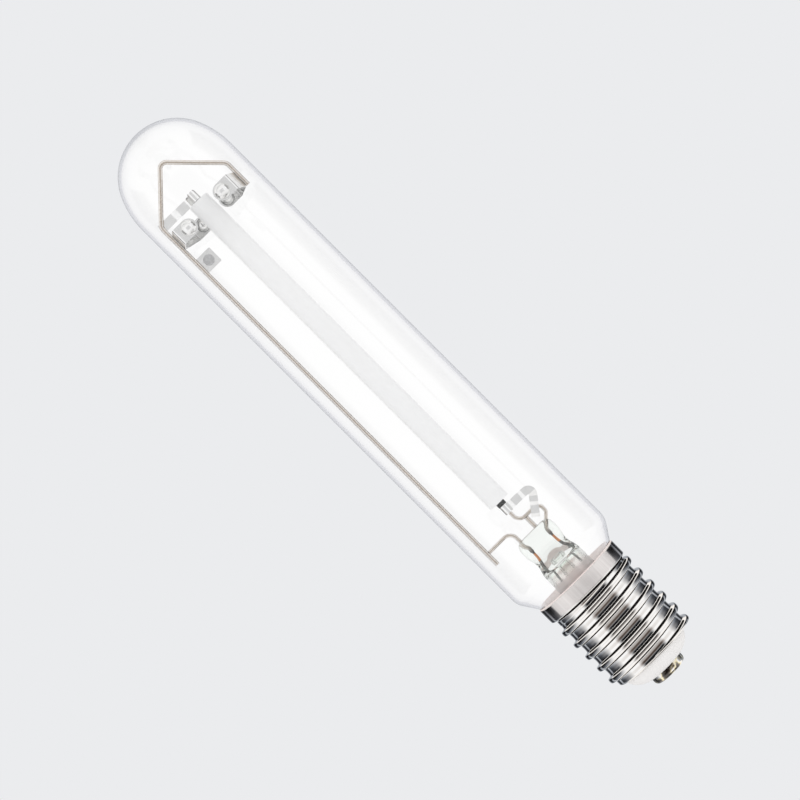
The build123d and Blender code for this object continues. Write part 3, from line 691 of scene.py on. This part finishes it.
brushed = add_node(tree, "ShaderNodeMapping", {"Vector": coords, "Scale": brushed_scale})[0]
marks = {"Vector": brushed, "Scale": 1.0, "Detail": 4.0}
brush_marks = add_node(tree, "ShaderNodeTexNoise", marks)["Fac"]
level = add_node(tree, "ShaderNodeSeparateXYZ", {"Vector": coords})["Z"]
edge_on = add_node(tree, "ShaderNodeLayerWeight", {"Blend": 0.5})["Facing"]
spans = (
    # value, where its step starts and ends, and what it goes from and to
    (level, satin_start * MM, satin_end * MM, 0.0, 1.0),
    (edge_on, glancing_start, glancing_end, 0.0, 1.0),
    (rolling, 0.3, 0.7, 0.03, 0.05),
)
satin, glancing, bright_haze = (
    add_node(
        tree, "ShaderNodeMapRange",
        {"Value": value, "From Min": start, "From Max": end, "To Min": low, "To Max": high},
        interpolation_type="SMOOTHSTEP",
    )["Result"]
    for value, start, end, low, high in spans
)
pair = {"Factor": rolling, "A": linear("#f4f3f2"), "B": linear("#fffefd")}
bright_tone = add_node(tree, "ShaderNodeMix", pair, data_type="RGBA")["Result"]
pair = {"Factor": brush_marks, "A": linear("#d6d0ce"), "B": linear("#faf6f4")}
satin_tone = add_node(tree, "ShaderNodeMix", pair, data_type="RGBA")["Result"]
pair = {"Factor": satin, "A": bright_tone, "B": satin_tone}
plate_tone = add_node(tree, "ShaderNodeMix", pair, data_type="RGBA")["Result"]
tree.links.new(plate_tone, shader.inputs["Base Color"])
for socket, bright, satin_low, satin_high in (
    ("Roughness", bright_haze, 0.36, 0.12),
    ("Metallic", 1.0, 0.34, 1.0),
):
    span = {"Value": glancing, "To Min": satin_low, "To Max": satin_high}
    on_skirt = add_node(tree, "ShaderNodeMapRange", span, interpolation_type="SMOOTHSTEP")
    pair = {"Factor": satin, "A": bright, "B": on_skirt["Result"]}
    finish = add_node(tree, "ShaderNodeMix", pair)["Result"]
    tree.links.new(finish, shader.inputs[socket])
ripple = add_node(
    tree, "ShaderNodeBump", {"Height": rolling, "Strength": 0.06, "Distance": 0.2 * MM}
)
tree.links.new(ripple["Normal"], shader.inputs["Normal"])
shell.data.materials.append(nickel_plate)


# Cement and insulator. Grey-pink cement holds the neck in the skirt, and a bowl of off-white
# ceramic closes the cap. One is set and the other fired hard, and both are matt.

# Basing cement runs down the glass as it sets, which leaves faint upright streaks.
streak_width, streak_length = 1.43, 11.1
cement, tree, shader = new_material("basing_cement")
coords = add_node(tree, "ShaderNodeTexCoord")["Object"]
streak_scale = [1 / (size * MM) for size in (streak_width, streak_width, streak_length)]
streaks = add_node(tree, "ShaderNodeMapping", {"Vector": coords, "Scale": streak_scale})[0]
marks = {"Vector": streaks, "Scale": 1.0, "Detail": 4.0}
mottle = add_node(tree, "ShaderNodeTexNoise", marks)["Fac"]
pair = {"Factor": mottle, "A": linear("#e0d2cd"), "B": linear("#f9eeea")}
cement_tone = add_node(tree, "ShaderNodeMix", pair, data_type="RGBA")["Result"]
tree.links.new(cement_tone, shader.inputs["Base Color"])
shader.inputs["Roughness"].default_value = 0.7
dress(cement, "basing_cement")

# Fired ceramic is off-white and even, with wide clouds that can hardly be seen.
cloud_size = 11.1
ceramic, tree, shader = new_material("fired_ceramic")
coords = add_node(tree, "ShaderNodeTexCoord")["Object"]
marks = {"Vector": coords, "Scale": 1 / (cloud_size * MM), "Detail": 2.0}
clouds = add_node(tree, "ShaderNodeTexNoise", marks)["Fac"]
pair = {"Factor": clouds, "A": linear("#f8f4f1"), "B": linear("#fdfbf9")}
ceramic_tone = add_node(tree, "ShaderNodeMix", pair, data_type="RGBA")["Result"]
tree.links.new(ceramic_tone, shader.inputs["Base Color"])
shader.inputs["Roughness"].default_value = 0.55
shader.inputs["Specular IOR Level"].default_value = 0.15
dress(ceramic, "cap_insulator")


# Centre contact. A small drawn cup of plated brass, polished, with its solder joint underneath.
# Its colour is painted in patches, dark and pale yellow: a painted reflection of the dark
# surroundings and of bright glints on the polished plate.
reflection_patch_size = 3.85
polished, tree, shader = new_material("polished_contact_plate")
shader.inputs["Metallic"].default_value = 1.0
coords = add_node(tree, "ShaderNodeTexCoord")["Object"]
marks = {"Vector": coords, "Scale": 1 / (reflection_patch_size * MM), "Detail": 2.0}
reflection_patches = add_node(tree, "ShaderNodeTexNoise", marks)["Fac"]
# Painted reflection: dark patches stand in for what the polished plate mirrors, and pale yellow
# ones for its glints.
painted_reflection_stops = ((0.40, "#5f5c5a"), (0.50, "#8d877f"), (0.56, "#fdf3cf"), (0.64, "#ffffff"))
contact_tone = add_node(tree, "ShaderNodeValToRGB", {"Fac": reflection_patches}, stops=painted_reflection_stops)["Color"]
tree.links.new(contact_tone, shader.inputs["Base Color"])
span = {"Value": reflection_patches, "To Min": 0.04, "To Max": 0.10}
contact_haze = add_node(tree, "ShaderNodeMapRange", span)["Result"]
tree.links.new(contact_haze, shader.inputs["Roughness"])
waves = {"Height": reflection_patches, "Strength": 0.5, "Distance": 0.6 * MM}
tree.links.new(add_node(tree, "ShaderNodeBump", waves)["Normal"], shader.inputs["Normal"])
dress(polished, "center_contact")

# Soft solder has cooled to a dull grey, with slightly duller grains.
solder_grain = 1.11
solder, tree, shader = new_material("soft_solder")
shader.inputs["Metallic"].default_value = 1.0
coords = add_node(tree, "ShaderNodeTexCoord")["Object"]
marks = {"Vector": coords, "Scale": 1 / (solder_grain * MM), "Detail": 2.0}
grains = add_node(tree, "ShaderNodeTexNoise", marks)["Fac"]
span = {"Value": grains, "To Min": 0.3, "To Max": 0.5}
solder_haze = add_node(tree, "ShaderNodeMapRange", span)["Result"]
tree.links.new(solder_haze, shader.inputs["Roughness"])
shader.inputs["Base Color"].default_value = linear("#b9b9b8")
dress(solder, "contact_solder", "side_solder")


# Frame and leads. Drawn wire with a thin nickel plating, welded where the wires cross. It is
# warm in colour. A painted highlight lies along its flanks, and painted shade makes it darker
# where it faces the view and at its outline. The ends in the glass are darkened by heat.
# The drawing lines are drawn coarser than the real ones, which are too fine to show.
drawing_line_size = 0.667
seal_end = 70.0
heat_length = 4.5
wire_metal, tree, shader = new_material("nickel_plated_wire")
shader.inputs["Metallic"].default_value = 1.0
coords = add_node(tree, "ShaderNodeTexCoord")["Object"]
marks = {"Vector": coords, "Scale": 1 / (drawing_line_size * MM), "Detail": 2.0}
drawing_lines = add_node(tree, "ShaderNodeTexNoise", marks)["Fac"]
turned_away = add_node(tree, "ShaderNodeLayerWeight", {"Blend": 0.5})["Facing"]
# Painted highlight: the base colour is white along the flanks. Painted shade makes it darker where
# the wire faces the view and at its outline.
painted_highlight_stops = (
    (0.00, "#cbbfb2"),
    (0.04, "#d6ccc1"),
    (0.13, "#ffffff"),
    (0.34, "#ffffff"),
    (0.50, "#dacec1"),
    (1.00, "#c0b3a6"),
)
painted_wire_highlight = add_node(tree, "ShaderNodeValToRGB", {"Fac": turned_away}, stops=painted_highlight_stops)["Color"]
pair = {"Factor": drawing_lines, "A": linear("#dcd5ce"), "B": linear("#ffffff")}
wire_marks = add_node(tree, "ShaderNodeMix", pair, data_type="RGBA")["Result"]
wire_level = add_node(tree, "ShaderNodeSeparateXYZ", {"Vector": coords})["Z"]
wire_marks = layered(
    tree, linear("#4d4844"), (wire_level, seal_end * MM, (seal_end + heat_length) * MM, wire_marks)
)
pair = {"Factor": 1.0, "A": painted_wire_highlight, "B": wire_marks}
wire_tone = add_node(tree, "ShaderNodeMix", pair, data_type="RGBA", blend_type="MULTIPLY")
tree.links.new(wire_tone["Result"], shader.inputs["Base Color"])
span = {"Value": drawing_lines, "To Min": 0.22, "To Max": 0.36}
wire_haze = add_node(tree, "ShaderNodeMapRange", span)["Result"]
tree.links.new(wire_haze, shader.inputs["Roughness"])
dress(wire_metal, "frame_wire", "frame_lead", "guide_wire", "center_post")

# The leads in the stem are oxidised grey, with a trace of blue and brown.
stain_size = 2.5
lead_wire, tree, shader = new_material("oxidised_lead_wire")
shader.inputs["Metallic"].default_value = 1.0
coords = add_node(tree, "ShaderNodeTexCoord")["Object"]
marks = {"Vector": coords, "Scale": 1 / (stain_size * MM)}
stain = add_node(tree, "ShaderNodeTexNoise", marks)["Fac"]
stain_stops = ((0.35, "#4f4d52"), (0.50, "#6f6a64"), (0.65, "#87908d"))
lead_tone = add_node(tree, "ShaderNodeValToRGB", {"Fac": stain}, stops=stain_stops)["Color"]
tree.links.new(lead_tone, shader.inputs["Base Color"])
shader.inputs["Roughness"].default_value = 0.3
dress(lead_wire, "contact_lead_wire", "shell_lead_wire")

# The molybdenum wires seal in the glass: a bright orange oxide there, and charred at both ends.
oxide_patch_size = 2.0
oxide_bottom, oxide_top = 66.2, 69.3
oxide_edge = 0.8
charred = linear("#2b2522")
molybdenum, tree, shader = new_material("oxidised_molybdenum")
shader.inputs["Metallic"].default_value = 0.3
shader.inputs["Roughness"].default_value = 0.4
coords = add_node(tree, "ShaderNodeTexCoord")["Object"]
marks = {"Vector": coords, "Scale": 1 / (oxide_patch_size * MM)}
oxide = add_node(tree, "ShaderNodeTexNoise", marks)["Fac"]
pair = {"Factor": oxide, "A": linear("#a3581f"), "B": linear("#e0924a")}
oxide_tone = add_node(tree, "ShaderNodeMix", pair, data_type="RGBA")["Result"]
seal_level = add_node(tree, "ShaderNodeSeparateXYZ", {"Vector": coords})["Z"]
seal_tone = layered(
    tree, charred,
    (seal_level, (oxide_bottom - oxide_edge) * MM, oxide_bottom * MM, oxide_tone),
    (seal_level, oxide_top * MM, (oxide_top + oxide_edge) * MM, charred),
)
tree.links.new(seal_tone, shader.inputs["Base Color"])
dress(molybdenum, "frame_seal_wire", "guide_seal_wire")


# Arc tube. A tube of sintered alumina with a plug at each end, closed with black sealing glass
# around the niobium tubes that carry the tungsten electrodes.

# Sintered alumina lets light through and blurs it like frosted glass, so it looks even and pale.
# Its grain is drawn far coarser than the real one, as faint clouds.
alumina_cloud_size = 3.33
alumina, tree, shader = new_material("translucent_alumina")
shader.inputs["Roughness"].default_value = 0.42
shader.inputs["Specular IOR Level"].default_value = 0.3
coords = add_node(tree, "ShaderNodeTexCoord")["Object"]
marks = {"Vector": coords, "Scale": 1 / (alumina_cloud_size * MM), "Detail": 3.0}
grain = add_node(tree, "ShaderNodeTexNoise", marks)["Fac"]
pair = {"Factor": grain, "A": linear("#f1f1f1"), "B": linear("#f7f7f7")}
alumina_tone = add_node(tree, "ShaderNodeMix", pair, data_type="RGBA")["Result"]
tree.links.new(alumina_tone, shader.inputs["Base Color"])
dress(alumina, "arc_tube_body", "lower_end_plug", "upper_end_plug")

# Sealing glass has melted to a black ring with a slightly uneven gloss.
crust_size = 1.11
frit, tree, shader = new_material("black_sealing_glass")
coords = add_node(tree, "ShaderNodeTexCoord")["Object"]
marks = {"Vector": coords, "Scale": 1 / (crust_size * MM)}
crust = add_node(tree, "ShaderNodeTexNoise", marks)["Fac"]
span = {"Value": crust, "To Min": 0.25, "To Max": 0.5}
frit_haze = add_node(tree, "ShaderNodeMapRange", span)["Result"]
tree.links.new(frit_haze, shader.inputs["Roughness"])
shader.inputs["Base Color"].default_value = linear("#040404")
shader.inputs["Specular IOR Level"].default_value = 0.1
dress(frit, "lower_frit_ring", "upper_frit_ring")

# Drawn tungsten is a dull grey metal. The amalgam bead on the lower plug looks like solder.
scale_mark_size = 0.833
tungsten, tree, shader = new_material("drawn_tungsten")
shader.inputs["Metallic"].default_value = 1.0
coords = add_node(tree, "ShaderNodeTexCoord")["Object"]
marks = {"Vector": coords, "Scale": 1 / (scale_mark_size * MM)}
scale_marks = add_node(tree, "ShaderNodeTexNoise", marks)["Fac"]
span = {"Value": scale_marks, "To Min": 0.4, "To Max": 0.6}
tungsten_haze = add_node(tree, "ShaderNodeMapRange", span)["Result"]
tree.links.new(tungsten_haze, shader.inputs["Roughness"])
shader.inputs["Base Color"].default_value = linear("#7d7d80")
dress(tungsten, "lower_electrode_rod", "upper_electrode_rod")
dress(tungsten, "lower_electrode_coil", "upper_electrode_coil")
dress(solder, "amalgam_dose")


# Ribbons and springs. Nickel strip and spring steel strip, rolled thin, bent by hand and welded
# to the wires. It is bright, and its long low waves break up what it shows.
wave_size = 2.38
strip_thickness = 0.22
strip_crease_angle = 40

strip, tree, shader = new_material("rolled_nickel_strip")
shader.inputs["Metallic"].default_value = 1.0
coords = add_node(tree, "ShaderNodeTexCoord")["Object"]
marks = {"Vector": coords, "Scale": 1 / (wave_size * MM), "Detail": 3.0}
rolled = add_node(tree, "ShaderNodeTexNoise", marks)["Fac"]
pair = {"Factor": rolled, "A": linear("#eeeeee"), "B": linear("#ffffff")}
strip_tone = add_node(tree, "ShaderNodeMix", pair, data_type="RGBA")["Result"]
tree.links.new(strip_tone, shader.inputs["Base Color"])
span = {"Value": rolled, "To Min": 0.08, "To Max": 0.18}
strip_haze = add_node(tree, "ShaderNodeMapRange", span)["Result"]
tree.links.new(strip_haze, shader.inputs["Roughness"])
waves = {"Height": rolled, "Strength": 0.3, "Distance": 0.3 * MM}
tree.links.new(add_node(tree, "ShaderNodeBump", waves)["Normal"], shader.inputs["Normal"])
dress(strip, "left_dome_spring", "right_dome_spring")
dress(strip, "lower_niobium_tube", "upper_niobium_tube", "getter_holder")


def bent_strip(name, stations, half_width, *replaced):
    """A strip through stations, each a point, the way across and the way the face looks."""
    rings = []
    for point, across, face_way in stations:
        middle = Vector(point)
        wide = Vector(across).normalized() * half_width
        deep = Vector(face_way).normalized() * strip_thickness / 2
        corners = ((-1, 1), (1, 1), (1, -1), (-1, -1))
        rings.append([tuple(middle + wide * a + deep * b) for a, b in corners])
    points, faces = sections(rings)
    faces += [[0, 1, 2, 3], [len(points) - k for k in (1, 2, 3, 4)]]
    piece = new_piece(name, points, faces, "ribbon_metal", *replaced)
    piece.data.set_sharp_from_angle(angle=math.radians(strip_crease_angle))
    piece.data.materials.append(strip)
    return piece


# The flexible ribbon is one loop of strip around the lower niobium tube and a tail that steps
# forwards and back, so that it can give when the arc tube grows hot.
arc_axis = -0.7
collar_radius = 1.74
collar_half_width = 1.85
collar_level = 89.45
collar_gap = 0.06
collar_steps = 40
ribbon_half_width = 1.65
ribbon_face = -1.15
ribbon_step_depth = 0.40
ribbon_step_width = 2.2
ribbon_steps = (1.65, 6.9, 12.6, 16.4, 21.0)
tail_corners = ((0.4, 89.42), (12.9, 89.15), (5.2, 79.3))
tail_bend_radius = 1.9
tail_bend_steps = 24
tail_spacing = 0.12
slope_reach = 0.05


def tail_depth(run):
    """How far forward the tail's middle lies after a length of run."""
    level = 0.0
    for number, middle in enumerate(ribbon_steps):
        rise = eased((run - middle) / ribbon_step_width + 0.5)
        level += rise if number % 2 == 0 else -rise
    return ribbon_face + ribbon_step_depth * (2 * level - 1)


route = [tail_corners[0]]
route += rounded_corner(*tail_corners, tail_bend_radius, tail_bend_steps)
route.append(tail_corners[2])
dense = []
for (x0, z0), (x1, z1) in zip(route, route[1:]):
    count = max(1, round(math.hypot(x1 - x0, z1 - z0) / tail_spacing))
    dense += [(x0 + (x1 - x0) * i / count, z0 + (z1 - z0) * i / count) for i in range(count)]
dense.append(route[-1])
stations = []
run = 0.0
for i, (x, z) in enumerate(dense):
    x0, z0 = dense[max(i - 1, 0)]
    x1, z1 = dense[min(i + 1, len(dense) - 1)]
    way = Vector((x1 - x0, 0, z1 - z0)).normalized()
    if i:
        run += math.hypot(x - x0, z - z0)
    slope = (tail_depth(run + slope_reach) - tail_depth(run - slope_reach)) / (2 * slope_reach)
    ahead = (way + Vector((0, slope, 0))).normalized()
    across = Vector((0, -1, 0)).cross(way)
    face_way = ahead.cross(across)
    if face_way.y > 0:
        face_way = -face_way
    stations.append(((x, tail_depth(run), z), across, face_way))
bent_strip("ribbon_tail", stations, ribbon_half_width)

stations = []
for i in range(collar_steps + 1):
    a = 2 * math.pi * (collar_gap / 2 + (1 - collar_gap) * i / collar_steps)
    way = Vector((math.cos(a), math.sin(a), 0))
    place = (arc_axis + collar_radius * way.x, collar_radius * way.y, collar_level)
    stations.append((place, (0, 0, 1), way))
bent_strip("ribbon_collar", stations, collar_half_width, "flex_ribbon")

# The end strap is the same strip, from behind the long run to the upper niobium tube. It was
# straightened by hand, so it lies in long flat waves, and it turns forward to wrap the tube.
strap_bottom, strap_top = (corner[2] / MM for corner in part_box("end_strap"))
strap_path = (
    # across and back, seen from above
    (-18.9, 1.04), (-17.4, 1.04), (-15.8, 1.06), (-14.0, 1.06), (-12.4, 1.10), (-11.2, 1.45),
    (-10.2, 1.85), (-9.2, 2.20), (-8.2, 2.38), (-6.8, 2.42), (-5.4, 2.38), (-4.6, 2.25),
    (-3.9, 1.85), (-3.3, 1.30), (-2.9, 0.80), (-2.62, 0.30), (-2.46, -0.20), (-2.30, -0.72),
    (-2.0, -1.15), (-1.6, -1.50), (-1.1, -1.70), (-0.5, -1.73), (0.2, -1.48), (0.7, -1.05),
    (0.98, -0.4),
)
strap_steps = 6
upwards = Vector((0, 0, 1))
strap_rows = [(x, y, (strap_bottom + strap_top) / 2) for x, y in strap_path]
strap_points = [Vector(row) for row in smoothed(strap_rows, strap_steps)]
stations = []
for i, point in enumerate(strap_points):
    way = strap_points[min(i + 1, len(strap_points) - 1)] - strap_points[max(i - 1, 0)]
    stations.append((tuple(point), upwards, way.cross(upwards)))
bent_strip("end_strap_strip", stations, (strap_top - strap_bottom) / 2, "end_strap")


# Getter. A round pellet of pressed metal powder in a plate of strip that is welded to the long
# run. It takes up gas traces when the lamp is hot. The powder is grey, matt and speckled, with
# grains drawn coarser than the real ones.
powder_grain = 0.667
getter_powder, tree, shader = new_material("pressed_getter_powder")
coords = add_node(tree, "ShaderNodeTexCoord")["Object"]
marks = {"Vector": coords, "Scale": 1 / (powder_grain * MM), "Detail": 4.0}
powder = add_node(tree, "ShaderNodeTexNoise", marks)["Fac"]
pair = {"Factor": powder, "A": linear("#8c8c8d"), "B": linear("#cfcfd0")}
powder_tone = add_node(tree, "ShaderNodeMix", pair, data_type="RGBA")["Result"]
tree.links.new(powder_tone, shader.inputs["Base Color"])
shader.inputs["Roughness"].default_value = 0.9
dress(getter_powder, "getter_pellet")
